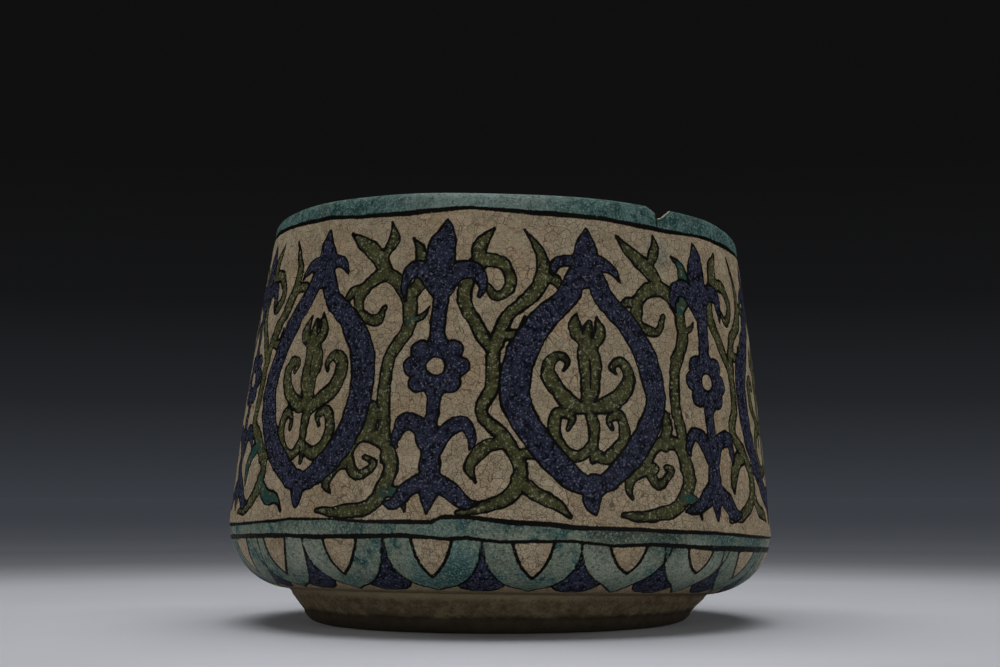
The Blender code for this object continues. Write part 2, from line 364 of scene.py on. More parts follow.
CLAY_SPECKS = [(CLAY_DARK, 0.9, 4, 0.65, 0.50, 0.72, 0, 0.85)]
FRACTURE_CLOUDS = [(FRACTURE_DARK, 1, 4, 0.6, 0.40, 0.68)]

# Clouds of noise: size, detail, roughness, the noise where one starts and is full, and its values there
CRACKLE_STRENGTH = (11, 2, 0.5, 0.3, 0.55, 0.4, 0.9)
OUTLINE_HALF_WIDTH = (6, 2, 0.5, 0.3, 0.7, 0.27, 0.54)
ACCENT_PATCHES = (2, 3, 0.6, 0.38, 0.55)
TEAL_GREY_PATCHES = (8, 3, 0.5, 0.36, 0.54)
INK_WEAR = (2.6, 3, 0.65, 0.2, 0.35)
GLAZE_ROUGHNESS = (2.4, 3, 0.5, 0.3, 0.7, 0.42, 0.6)
CLAY_ROUGHNESS = (2, 2, 0.5, 0.3, 0.7, 0.74, 0.92)
FRACTURE_ROUGHNESS = (0.6, 2, 0.5, 0.3, 0.7, 0.8, 0.95)
FLOOR_ROUGHNESS = (60, 2, 0.5, 0.3, 0.7, 0.62, 0.72)

# Fades: where one starts and is full, and its values there if they aren't 0 and 1
CELL_PINK = (0.55, 1, 0, 0.6)
GRIME_AND_SHADE_FADE = (25, 12, 0, 0.75)
CRACKLE_LOW = (90, 30, 0, 0.16)
CRACKLE_FINE = (0.42, 0.66, 0.1, 0.8)
FILL_EDGE = (0.25, -0.2)
OUTLINE_EDGE = (0.16, -0.14)
INK_EDGE = (0.18, -0.15)
GREEN_MIDDLE = (-0.5, -1.9, 0, 0.5)
TEAL_GREY_HIGH = (75, 55, 0, 0.5)
TEAL_GREY_LOW = (39, 33, 0, 0.4)
TEAL_DARK_LOW = (30, 15, 0, 0.4)
RING_FADE = (0.45, 0.72, 0, 0.35)
DISH_FADE = (FOOT_HEIGHT - 1, FOOT_HEIGHT + 2.5, 0, 0.7)
HEEL_STAIN_AND_SHADE_FADE = (HEEL_HEIGHT + 2.2, HEEL_HEIGHT + 0.2, 0, 0.85)
CORE = 0.3
CRACK_TAIL = 0.7
CRACKLE_CORE = 0.25

# Sways of a line or an edge: length and amount, and the detail where it isn't 1
PAINT_SWAY = (5, 0.4)
PAINT_TREMBLE = (1.2, 0.1)
INK_TREMBLE = (1, 0.14)
CRACK_SWAY = (1.5, 0.3)
GRIME_AND_SHADE_SWAY = (7, 3)
HEEL_SWAY = (5, 0.7, 2)
CRACKLE_WARP = (5, 0.7)
# Noise keeps within about a quarter of its middle, so this makes a swing of about 1 either way
NOISE_SWING = 4.0

# Crackle and relief: nets are cell and half width; lumps are height, size, detail and roughness; a finish
# is the bump's strength and the shine
CRACKLE_CELL = 2.8
WIDE_NET = (CRACKLE_CELL, 0.14)
FINE_NET = (1.5, 0.09)
FINE_PATCH = 8.0
CRACKLE_DEPTH = 0.05
CELL_DULLNESS = 0.62
GLAZE_LUMPS = (0.09, 1.1, 3)
GLAZE_FINISH = (0.8, 0.05)
CLAY_RINGS = (1.3, 3, 0.6)
CLAY_RING_STRETCH = (0.3, 0.3, 1)
CLAY_RING_HEIGHT = 0.12
CLAY_LUMPS = (0.22, 0.7, 4, 0.6)
CLAY_FINISH = (0.9, 0.12)
FRACTURE_LUMPS = (0.3, 0.4, 4, 0.6)
FRACTURE_FINISH = (0.9, 0.2)
FLOOR_GRAIN = 1.0
FLOOR_FINISH = (0.02, 0.2)

# Places where the turquoise is paler or duller: paint, bearing in degrees, height, radius and share
TEAL_PATCHES = [
    (TEAL_PALE, -94, 150, 42, 0.48), (TEAL_ASH, -132, 24, 17, 0.8),
    (TEAL_ASH, -66, 23, 18, 0.85), (TEAL_ASH, -46, 23, 17, 0.95),
    (TEAL, -100, 24, 20, 0.85), (TEAL_DARK, -97, 18, 14, 0.9),
    (TEAL_BROWN, -67, 40, 17, 1), (TEAL_BROWN, -56, 40, 17, 1),
    (TEAL_DARK, -40, 42, 21, 0.95), (TEAL_DARK, -26, 41, 23, 0.95),
]
# Where the turquoise has run into the cream below the chip, in the same terms
TEAL_RUN = (-51, 135, 9, 0.35)

# The backdrop's colours by how steeply the line of sight rises, and the strength of the even light
BACKDROP = [
    (0, (0.040, 0.044, 0.053)), (0.026, (0.027, 0.030, 0.035)), (0.055, (0.0168, 0.0176, 0.0210)),
    (0.112, (0.0076, 0.0078, 0.0086)), (0.192, (0.0050, 0.0050, 0.0050)),
]
WHITE = (1, 1, 1)
SOFT_LIGHT = 0.045

# The floor's painted pool of light: its paleness by the distance from its palest place, and where it takes
# on a painted glow, emitted to look like the backdrop
FLOOR_MIDDLE = (0, -150, 0)
FLOOR_PAINTED_LIGHT = [
    (0, 0.60), (140, 0.52), (400, 0.425), (470, 0.39), (530, 0.32), (600, 0.24), (680, 0.17),
    (770, 0.11), (1000, 0.05), (1500, 0.03),
]
FLOOR_PAINTED_GLOW_FADE = (450, 1150)
FLOOR_RADIUS = 30000.0

# Lamps: place, width and height in metres, power in watts, and whether they show in shines
LAMP_TARGET = (0, 0, 0.08)
LAMPS = {
    "overhead": ((-0.05, 0.15, 1.5), 1.4, 1.4, 22, True),
    "front_left": ((-1.35, -1.45, 0.13), 1.2, 0.22, 10.6, True),
    "front_right": ((1.45, -1.35, 0.13), 1.2, 0.22, 12.3, True),
    "back_left": ((-1.9, 0.9, 0.5), 1, 0.3, 9, False),
    "back_right": ((1.9, 0.9, 0.5), 1, 0.3, 9, False),
}

# Camera, in metres and radians
CAMERA_PLACE = (0.0021, -0.6831, 0.0486)
CAMERA_PITCH = 0.093
CAMERA_YAW = 0.0019
CAMERA_LENS = 62.26
SENSOR_WIDTH = 36.0


def unit(value):
    """Held between 0 and 1."""
    return np.clip(value, 0.0, 1.0)


def linked(name, data):
    made = bpy.data.objects.new(name, data)
    bpy.context.scene.collection.objects.link(made)
    return made


def meshed(name, shape):
    mesh = bpy.data.meshes.new(name)
    shape.to_mesh(mesh)
    shape.free()
    return mesh


def ellipse(centre, half_r, half_z, first, last):
    """Points between two angles in degrees from the outward direction."""
    angle = np.radians(np.linspace(first, last, STEPS))
    return np.column_stack([centre[0] + half_r * np.cos(angle), centre[1] + half_z * np.sin(angle)])


def bow(start, end, bulge):
    """Points along a shallow bow that stands out to the right by bulge."""
    share = np.linspace(0.0, 1.0, STEPS)[:, None]
    run = np.subtract(end, start)
    right = np.array([run[1], -run[0]]) / np.hypot(*run)
    return start + share * run + 4.0 * bulge * share * (1.0 - share) * right


class Section:
    """A line in (radius, height) with the clay on its left, read by the distance along it."""

    def __init__(self, *stretches):
        points = np.vstack(stretches)
        moved = np.hypot(*np.diff(points, axis=0).T) > TINY
        self.points = points[np.r_[True, moved]]
        self.along = np.r_[0.0, np.cumsum(np.hypot(*np.diff(self.points, axis=0).T))]
        self.length = self.along[-1]

    def at(self, along):
        return np.column_stack([np.interp(along, self.along, self.points[:, i]) for i in (0, 1)])

    def under(self, along, depth):
        """The points depth below the surface, square to it."""
        run = self.at(along + SURFACE_STEP) - self.at(along - SURFACE_STEP)
        run /= np.hypot(*run.T)[:, None]
        return self.at(along) + depth * np.column_stack([-run[:, 1], run[:, 0]])

    def crossing(self, height, first=0.0, last=None):
        """Where the line crosses a height, between two distances along it."""
        probe = np.linspace(first, self.length if last is None else last, PROBES)
        return probe[np.argmin(np.abs(self.at(probe)[:, 1] - height))]


def bowl_section():
    """From the foot joint up the outside, over the lip and down to the floor's middle."""
    half_lip = LIP_THICKNESS / 2
    low_radius = SHOULDER_RADIUS - WALL_THICKNESS
    corner = FLOOR_CORNER
    lip_height = HEIGHT - LIP_RISE
    dish = ellipse(
        (FOOT_RADIUS, SHOULDER_HEIGHT), SHOULDER_RADIUS - FOOT_RADIUS,
        SHOULDER_HEIGHT - FOOT_HEIGHT, -90.0, 0.0,
    )
    wall = bow((SHOULDER_RADIUS, SHOULDER_HEIGHT), (MOUTH_RADIUS, lip_height), WALL_BULGE)
    lip = ellipse((MOUTH_RADIUS - half_lip, lip_height), half_lip, LIP_RISE, 0.0, 180.0)
    lip_inside = (MOUTH_RADIUS - LIP_THICKNESS, lip_height)
    inside = bow(lip_inside, (low_radius, FLOOR_HEIGHT + corner), -WALL_BULGE)
    turn = ellipse((low_radius - corner, FLOOR_HEIGHT + corner), corner, corner, 0.0, -90.0)
    floor = bow((low_radius - corner, FLOOR_HEIGHT), (0.0, FLOOR_HEIGHT), 0.0)
    return Section(dish, wall, lip, inside, turn, floor)


BOWL = bowl_section()
LIP_TOP = BOWL.crossing(HEIGHT)
PETAL_LOW = BOWL.crossing(PETAL_LOW_HEIGHT, 0.0, LIP_TOP)
STRIPE_LOW = BOWL.crossing(lowest("stripe_glaze"), 0.0, LIP_TOP)
STRIPE_TOP = BOWL.crossing(lowest("frieze_glaze"), 0.0, LIP_TOP)
RIM_OUT = BOWL.crossing(RIM_LINE_HEIGHT, 0.0, LIP_TOP)
RIM_IN = BOWL.crossing(RIM_LINE_HEIGHT, LIP_TOP)
SEAT_OUT = BOWL.crossing(SEAT_HEIGHT, 0.0, LIP_TOP)
SEAT_IN = BOWL.crossing(SEAT_HEIGHT + SEAT_RISE, LIP_TOP)


def ripple(place, amount, length, seed, waves=RIPPLE_WAVES):
    """Smooth unevenness of that amount, with hollows about length apart."""
    rng = np.random.default_rng(SEEDS[seed])
    total = np.zeros(len(place))
    for _ in range(waves):
        way = rng.normal(size=3)
        way *= rng.uniform(*RIPPLE_SPREAD) * math.tau / (length * np.linalg.norm(way))
        total += np.sin(place @ way + rng.uniform(0.0, math.tau))
    return amount * (total / math.sqrt(2.0 * waves))


def handmade(place):
    """Points of the true form, moved to where the potter's hand left them."""
    x, y, z = place.T
    radius = np.hypot(x, y)
    bearing = np.arctan2(y, x)
    lift = unit((z - FOOT_HEIGHT) / (HEIGHT - FOOT_HEIGHT))
    raised = z / FOOT_HEIGHT
    edge = unit(radius / FOOT_RADIUS)
    low = (1.0 - unit(raised - FOOT_UNEVEN_FADE)) * unit(raised / FOOT_UNEVEN_RISE)
    out = OUT_OF_ROUND * radius * np.cos(2.0 * (bearing - OUT_OF_ROUND_BEARING)) * lift
    out += ripple(place, *DENTS, "dents") * edge
    out += RIDGE * np.sin(math.tau * z / RIDGE_PITCH + bearing) * edge * unit(lift / RIDGE_RISE)
    out += ripple(place, *FOOT_UNEVEN, "foot") * low * edge
    grow = 1.0 + out / np.maximum(radius, 1.0)
    drop = np.interp(z, LEAN_HEIGHTS, LEAN_SLOPES) * x + unit(raised) * (LEAN_BACK * y + SETTLED)
    rise = ripple(place, *LIP_WOBBLE, "lip") * lift * lift * edge
    return np.column_stack([x * grow + SIDEWAYS * z, y * grow + LEAN_BACK * z, z - drop + rise])


def spin(rows, columns):
    """Points of each row of (radius, height) at each column's bearing."""
    bearing = np.arange(columns) * math.tau / columns
    radius, height = rows.T
    around = np.broadcast_to(height[:, None], (len(rows), columns))
    return np.stack([radius[:, None] * np.cos(bearing), radius[:, None] * np.sin(bearing), around], axis=-1)


def turned(name, rows, columns, shown_rows, strips):
    """A closed piece turned from the rows of its section, of which the first shown_rows are its face."""
    count = len(rows)
    points = handmade(spin(rows, columns).reshape(-1, 3)) * MM
    row = np.repeat(np.arange(count), columns)
    column = np.tile(np.arange(columns), count)
    above = (row + 1) % count
    beside = (column + 1) % columns
    faces = np.column_stack([
        row * columns + column, row * columns + beside, above * columns + beside, above * columns + column,
    ])
    mesh = bpy.data.meshes.new(name)
    mesh.from_pydata(points.tolist(), [], faces.tolist())
    map_face(mesh, row, column, columns, count, shown_rows, strips)
    return linked(name, mesh)


def map_face(mesh, row, column, columns, count, shown_rows, strips):
    """A map for baking: the face as strips, one above the other, and the rest in a stretch at the top."""
    width = columns // strips
    strip = column // width
    tall = (1.0 - BAKE_SPARE) / strips
    shown = (row < shown_rows - 1)[:, None]
    corner_u = np.array([0, 1, 1, 0])
    corner_v = np.array([0, 0, 1, 1])
    across = ((column % width)[:, None] + corner_u) / width
    up = (row[:, None] + corner_v) / (shown_rows - 1)
    edge = BAKE_MARGIN * strips
    u = BAKE_MARGIN + (1.0 - 2.0 * BAKE_MARGIN) * across
    v = (strip[:, None] + edge + (1.0 - 2.0 * edge) * up) * tall
    hidden_u = (column[:, None] + corner_u) / columns
    behind = (row - shown_rows + 1)[:, None] + corner_v
    hidden_v = 1.0 - BAKE_SPARE + BAKE_SPARE * behind / (count - shown_rows + 1)
    u = np.where(shown, u, hidden_u)
    v = np.where(shown, v, hidden_v)
    layer = mesh.uv_layers.new(name="OFBake")
    layer.data.foreach_set("uv", np.stack([u, v], axis=-1).astype(np.float32).ravel())


def finished(piece, material):
    """Welded at a pole, if there is one, and smooth between sharp edges."""
    piece.data.materials.append(material)
    shape = bmesh.new()
    shape.from_mesh(piece.data)
    bmesh.ops.remove_doubles(shape, verts=shape.verts, dist=TINY)
    shape.to_mesh(piece.data)
    shape.free()
    piece.data.shade_smooth()
    piece.data.set_sharp_from_angle(angle=SHARP_ANGLE)
    return piece


def smooth_path(stations):
    known = np.asarray(stations, float)
    known = np.vstack([2 * known[0] - known[1], known, 2 * known[-1] - known[-2]])
    t = np.linspace(0.0, 1.0, CURVE_STEPS, endpoint=False)[:, None]
    parts = []
    for a, b, c, d in zip(known, known[1:], known[2:], known[3:]):
        square = 2 * a - 5 * b + 4 * c - d
        cube = 3 * b - a - 3 * c + d
        parts.append(0.5 * (2 * b + (c - a) * t + square * t ** 2 + cube * t ** 3))
    path = np.vstack(parts + [known[-2:-1]])
    path[:, 2] = np.maximum(path[:, 2], LEAST_HALF_WIDTH)
    return path


def path_distance(x, v, path):
    """How far each point lies outside a stroke; negative inside."""
    best = np.full(x.shape, FAR)
    for (ax, av, aw), (bx, bv, bw) in zip(path, path[1:]):
        run = bx - ax
        rise = bv - av
        length = max(run * run + rise * rise, TINY)
        share = unit(((x - ax) * run + (v - av) * rise) / length)
        gap = np.hypot(x - ax - share * run, v - av - share * rise) - (aw + share * (bw - aw))
        np.minimum(best, gap, out=best)
    return best


def wave(bearing, size, seed):
    """The unsteadiness of a line round the bowl, which closes on itself."""
    rng = np.random.default_rng(SEEDS[seed])
    total = np.zeros_like(bearing)
    for count in WAVE_COUNTS:
        total += rng.normal() * np.sin(count * bearing + rng.uniform(0.0, math.tau)) / math.sqrt(count)
    return size * total


class Coat:
    """The painting on one piece: for each paint, the distance to it at each row and column."""

    def __init__(self, along, columns):
        self.along = along
        self.bearing = np.arange(columns) * math.tau / columns
        self.radius = BOWL.at(along)[:, 0]
        self.fields = {paint: np.full((len(along), columns), FAR) for paint in FIELDS}

    def patch(self, bearing, low, high):
        """The rows and columns near a stroke, and each point's place from its bearing."""
        rows = np.nonzero((self.along > low[1]) & (self.along < high[1]))[0]
        radius = self.radius[rows][:, None]
        turn = (self.bearing - bearing + math.pi) % math.tau - math.pi
        near = turn * radius.min(initial=SHOULDER_RADIUS)
        columns = np.nonzero((near > low[0]) & (near < high[0]))[0]
        x = turn[columns] * radius
        return np.ix_(rows, columns), x, np.broadcast_to(self.along[rows][:, None], x.shape)

    def near(self, bearing, path):
        room = path[:, 2].max() + STROKE_ROOM
        return self.patch(bearing, path[:, :2].min(0) - room, path[:, :2].max(0) + room)

    def lay(self, paint, where, gap):
        field = self.fields[paint]
        field[where] = np.minimum(field[where], gap)

    def stroke(self, paint, bearing, stations):
        path = smooth_path(stations)
        where, x, v = self.near(bearing, path)
        self.lay(paint, where, path_distance(x, v, path))

    def petal(self, bearing, outer, inner):
        """A turquoise petal round a bare one, both outlined, below the stripe."""
        outer = smooth_path(outer)
        inner = smooth_path(inner)
        where, x, v = self.near(bearing, outer)
        over = v - stripe_low(self.bearing)[where[1]]
        edge = np.maximum(path_distance(x, v, outer), over)
        hole = np.maximum(path_distance(x, v, inner), over)
        self.lay("teal", where, np.maximum(edge, -hole))
        self.lay("ink", where, np.abs(edge) - PETAL_LINE)
        self.lay("ink", where, np.abs(hole) - PETAL_INNER_LINE)

    def ring(self, bearing, centre, outer, hole=NO_HOLE):
        room = outer + STROKE_ROOM
        where, x, v = self.patch(bearing, np.subtract(centre, room), np.add(centre, room))
        away = np.hypot(x - centre[0], v - centre[1])
        self.lay("blue", where, np.maximum(away - outer, hole - away))

    def band(self, low, high):
        s = self.along[:, None]
        self.lay("teal", ..., np.maximum(low - s, s - high))

    def line(self, middle, half, seed):
        half = half * (1.0 + wave(self.bearing, LINE_SWELL, seed))
        self.lay("ink", ..., np.abs(self.along[:, None] - middle) - half)


def drift(bearing, stations):
    at, offset = np.transpose(stations)
    return np.interp(np.degrees(bearing), at, offset, period=360.0)


def stripe_low(bearing):
    """Where the line under the stripe runs, from which the petals hang."""
    return STRIPE_LOW + drift(bearing, STRIPE_LOW_DRIFT) + wave(bearing, LINE_WAVE, "stripe low")


def paint_bands(coat):
    bearing = coat.bearing
    rim = RIM_OUT + drift(bearing, RIM_DRIFT) + wave(bearing, LINE_WAVE, "rim line")
    inside = RIM_IN - INSIDE_MARGIN + wave(bearing, INSIDE_WAVE, "inside line")
    top = STRIPE_TOP + drift(bearing, STRIPE_TOP_DRIFT) + wave(bearing, LINE_WAVE, "stripe top")
    low = stripe_low(bearing)
    coat.band(rim, inside)
    coat.band(low, top)
    coat.line(rim, RIM_LINE, "rim swell")
    coat.line(top, STRIPE_TOP_LINE, "top swell")
    coat.line(low, STRIPE_LOW_LINE, "low swell")


class Brush:
    """Draws strokes on a coat, a little differently each time."""

    def __init__(self, coat):
        self.coat = coat
        self.rng = np.random.default_rng(SEEDS["brush"])

    def draw(self, paint, bearing, strokes, sides=(1,)):
        for side in sides:
            for stations in strokes:
                drawn = np.array(stations, float)
                drawn[:, :2] += self.rng.normal(0.0, BRUSH_JITTER, (len(drawn), 2))
                drawn[:, 2] *= 1.0 + self.rng.normal(0.0, BRUSH_SWELL, len(drawn))
                drawn[:, 0] *= side
                drawn[:, 1] += STRIPE_TOP
                self.coat.stroke(paint, bearing, drawn)
                if len(drawn) <= ACCENT_STATIONS and self.rng.random() < ACCENT_SHARE and paint == "green":
                    self.coat.stroke("accent", bearing, drawn)

    def rosette(self, bearing):
        middle = STRIPE_TOP + ROSETTE_HEIGHT
        for lobe in range(ROSETTE_LOBES):
            angle = math.tau * lobe / ROSETTE_LOBES
            centre = (ROSETTE_RADIUS * math.cos(angle), middle + ROSETTE_RADIUS * math.sin(angle))
            self.coat.ring(bearing, centre, ROSETTE_LOBE_RADIUS)
        self.coat.ring(bearing, (0.0, middle), ROSETTE_RADIUS, ROSETTE_HOLE)


def paint_frieze(coat):
    """Medallions with palmettes, candelabra between them, and vines."""
    brush = Brush(coat)
    step = math.tau / REPEATS
    both = (1, -1)
    for repeat in range(REPEATS):
        bearing = FRIEZE_START + repeat * step + brush.rng.uniform(-UNIT_DRIFT, UNIT_DRIFT)
        between = bearing + step / 2
        brush.draw("blue", bearing, MEDALLION_SIDE, both)
        brush.draw("blue", bearing, MEDALLION_SPINE)
        brush.draw("green", bearing, PALMETTE_SIDE, both)
        brush.draw("green", bearing, PALMETTE_SPINE)
        brush.draw("ink", bearing, PALMETTE_VEIN)
        brush.draw("blue", between, CANDELABRUM_SIDE, both)
        brush.draw("blue", between, CANDELABRUM_SPINE)
        brush.rosette(between)
        brush.draw("green", bearing, VINE_RIGHT)
        brush.draw("green", bearing, VINE_LEFT, (-1,))


def all_round(front, rest):
    """A value for every petal; those at the front have their own."""
    return list(front) + [rest] * (PETALS - len(front))


def petal_bearings():
    """Degrees; those at the front stand a little unevenly."""
    pitch = 360.0 / PETALS
    first = FRONT_BEARING - pitch * (len(FRONT_SHIFTS) // 2)
    return [first + pitch * i + shift for i, shift in enumerate(all_round(FRONT_SHIFTS, 0.0))]


def hung(stations, skew, depth=1.0):
    """Stations below the stripe, leaning by a share of the way down."""
    return [(x + skew * down, STRIPE_LOW - depth * down, half) for x, down, half in stations]


def slimmed(stations, share):
    """A petal's stations, drawn in by a share half way down."""
    drawn_in = [1.0 - share * math.sin(math.pi * down / PETAL_DEPTH) for _, down, _ in stations]
    return [(x, down, half * narrow) for (x, down, half), narrow in zip(stations, drawn_in)]


def paint_petals(coat):
    """Petals and blue darts, which lean away from the front and the sides."""
    bearings = petal_bearings()
    afters = bearings[1:] + [bearings[0] + 360.0]
    depths = all_round(FRONT_DEPTHS, 1.0)
    slimness = all_round(FRONT_SLIMNESS, 0.0)
    for here, after, depth, slim in zip(bearings, afters, depths, slimness):
        between = math.radians((here + after) / 2)
        lean = math.sin(2.0 * math.radians(here - FRONT)) / PETAL_DEPTH
        coat.stroke("blue", between, hung(DART, DART_SKEW * lean))
        outer = hung(slimmed(PETAL_OUTER, slim), PETAL_OUTER_SKEW * lean)
        inner = hung(PETAL_INNER, PETAL_INNER_SKEW * lean, depth)
        coat.petal(math.radians(here), outer, inner)


def spread(first, last, rows):
    """Places closer together near both ends, where the painted lines run."""
    edge = min(EDGE_WIDTH, (last - first) / 3)
    inner = np.linspace(first + edge, last - edge, rows - 2 * EDGE_ROWS)
    steps = np.arange(EDGE_ROWS) * edge / EDGE_ROWS
    return np.r_[first + steps, inner, last - steps[::-1]]


def coated(name, first, last, columns, material):
    """A glaze coat over one stretch of the bowl, with its painting on its points."""
    rows, hidden_rows, strips = COAT_ROWS[name]
    along = spread(first, last, rows)
    back = np.linspace(last, first, hidden_rows)
    section = np.vstack([BOWL.at(along), BOWL.under(back, GLAZE)])
    piece = turned(name, section, columns, rows, strips)
    coat = Coat(along, columns)
    paint_bands(coat)
    paint_petals(coat)
    paint_frieze(coat)
    for paint, field in coat.fields.items():
        rest = np.full((hidden_rows, columns), FAR)
        values = np.vstack([field, rest]).astype(np.float32).ravel()
        piece.data.attributes.new(paint, "FLOAT", "POINT").data.foreach_set("value", values)
    return finished(piece, material)


def filled(corners, spacing):
    """A closed outline with points no further apart than spacing."""
    corners = np.asarray(corners, float)
    parts = []
    for a, b in zip(corners, np.roll(corners, -1, axis=0)):
        count = max(1, math.ceil(np.hypot(*(b - a)) / spacing))
        parts.append(a + (b - a) * np.arange(count)[:, None] / count)
    return np.vstack(parts)


def clay_piece(name, outline, material):
    rows = filled(outline, CLAY_SPACING[name])
    piece = turned(name, rows, CLAY_COLUMNS, len(rows), 1)
    return finished(piece, material)


def foot_outline():
    """Rounded at the heel, with a fillet under the dish."""
    heel = ellipse((FOOT_REST, HEEL_HEIGHT), HEEL_REACH, HEEL_HEIGHT, -90.0, 0.0)
    hollow = (FOOT_RADIUS + FILLET, FOOT_HEIGHT + FILLET_BITE - FILLET)
    fillet = ellipse(hollow, FILLET, FILLET, FILLET_START, 90.0)
    return np.vstack([
        [(FOOT_INSIDE, FOOT_HEIGHT), (FOOT_INSIDE, FOOT_BEVEL), (FOOT_REST - REST_WIDTH, 0.0)],
        heel[::HEEL_SKIP],
        fillet[::FILLET_SKIP],
        [(FOOT_RADIUS + FILLET, FOOT_HEIGHT + FILLET_BITE)],
    ])


def dish_outline():
    """The clay under the petals and the floor, with a boss inside the foot."""
    boss_height = FOOT_HEIGHT - BOSS_DROP
    outside = np.linspace(0.0, SEAT_OUT, SHORT_STRETCH)
    inside = np.linspace(SEAT_IN, BOWL.length, LONG_STRETCH)
    covered = unit((BOWL.at(outside)[:, 1] - PETAL_LOW_HEIGHT) / GLAZE)
    return np.vstack([
        [(0.0, boss_height), (FOOT_INSIDE, boss_height), (FOOT_INSIDE, FOOT_HEIGHT)],
        BOWL.at(outside) + (BOWL.under(outside, GLAZE) - BOWL.at(outside)) * covered[:, None],
        BOWL.under(inside, GLAZE),
    ])


def wall_outline():
    outside = np.linspace(SEAT_OUT, LIP_TOP, LONG_STRETCH)
    inside = np.linspace(LIP_TOP, SEAT_IN, LONG_STRETCH)
    return BOWL.under(np.r_[outside, inside[1:]], GLAZE)


def chip_cutter(material):
    """The broken-out chip: a rough slope laid through the lip, and all that is above it."""
    shape = bmesh.new()
    bmesh.ops.create_grid(shape, x_segments=CHIP_CELLS[0], y_segments=CHIP_CELLS[1], size=0.5)
    layer = shape.loops.layers.uv.new("OFBake")
    for face in shape.faces:
        for loop in face.loops:
            loop[layer].uv = (0.5, 1.0 - BAKE_SPARE / 2)
    lower_points = len(shape.verts)
    bmesh.ops.extrude_face_region(shape, geom=shape.faces[:])
    bmesh.ops.recalc_face_normals(shape, faces=shape.faces)
    mesh = meshed("chip_cutter", shape)
    flat = np.array([v.co for v in mesh.vertices])
    raised = np.arange(len(flat)) >= lower_points
    mesh.vertices.foreach_set("co", (chip_place(flat, raised) * MM).astype(np.float32).ravel())
    mesh.materials.append(material)
    return linked("chip_cutter", mesh)


def chip_place(flat, raised):
    """Where the cutter's points lie, askew through the lip; x runs against the bearing and y outward."""
    stations, depths = np.transpose(CHIP_PROFILE)
    across = flat[:, 1] * CHIP_CUT_WIDTH
    station = stations[-1] - (flat[:, 0] + 0.5) * (stations[-1] - stations[0])
    depth = np.interp(station, stations, depths)
    along = station - CHIP_SKEW * across
    spread_out = np.column_stack([along, across, 0 * along])
    rough = ripple(spread_out, *CHIP_ROUGHNESS, "chip", CHIP_WAVES)
    bottom = HEIGHT - depth - CHIP_TILT * across + rough
    middle = MOUTH_RADIUS - LIP_THICKNESS / 2
    radius = middle + across
    bearing = CHIP_BEARING + along / middle
    height = np.where(raised, HEIGHT + 2.0 * depths.max(), bottom)
    return handmade(np.column_stack([radius * np.cos(bearing), radius * np.sin(bearing), height]))


def cut(piece, cutter):
    chip = piece.modifiers.new("chip", "BOOLEAN")
    chip.operation = "DIFFERENCE"
    chip.solver = "EXACT"
    chip.material_mode = "TRANSFER"
    chip.object = cutter
    graph = bpy.context.evaluated_depsgraph_get()
    made = bpy.data.meshes.new_from_object(
        piece.evaluated_get(graph), preserve_all_data_layers=True, depsgraph=graph
    )
    piece.modifiers.clear()
    piece.data = made
    made.set_sharp_from_angle(angle=SHARP_ANGLE)


class Nodes:
    """Short ways to add nodes to a tree."""

    def __init__(self, tree):
        self.tree = tree

    def node(self, kind, inputs=None, **settings):
        made = self.tree.nodes.new("ShaderNode" + kind)
        for key, value in settings.items():
            setattr(made, key, value)
        self.fill(made, inputs or {})
        return made

    def fill(self, node, inputs):
        for key, value in inputs.items():
            socket = node.inputs[key]
            if isinstance(value, bpy.types.NodeSocket):
                self.tree.links.new(value, socket)
            elif socket.type == "RGBA":
                socket.default_value = (*value, 1.0)
            else:
                socket.default_value = value

    def math(self, operation, *values):
        return self.node("Math", dict(enumerate(values)), operation=operation).outputs[0]

    def vector(self, operation, *values, output="Vector"):
        return self.node("VectorMath", dict(enumerate(values)), operation=operation).outputs[output]


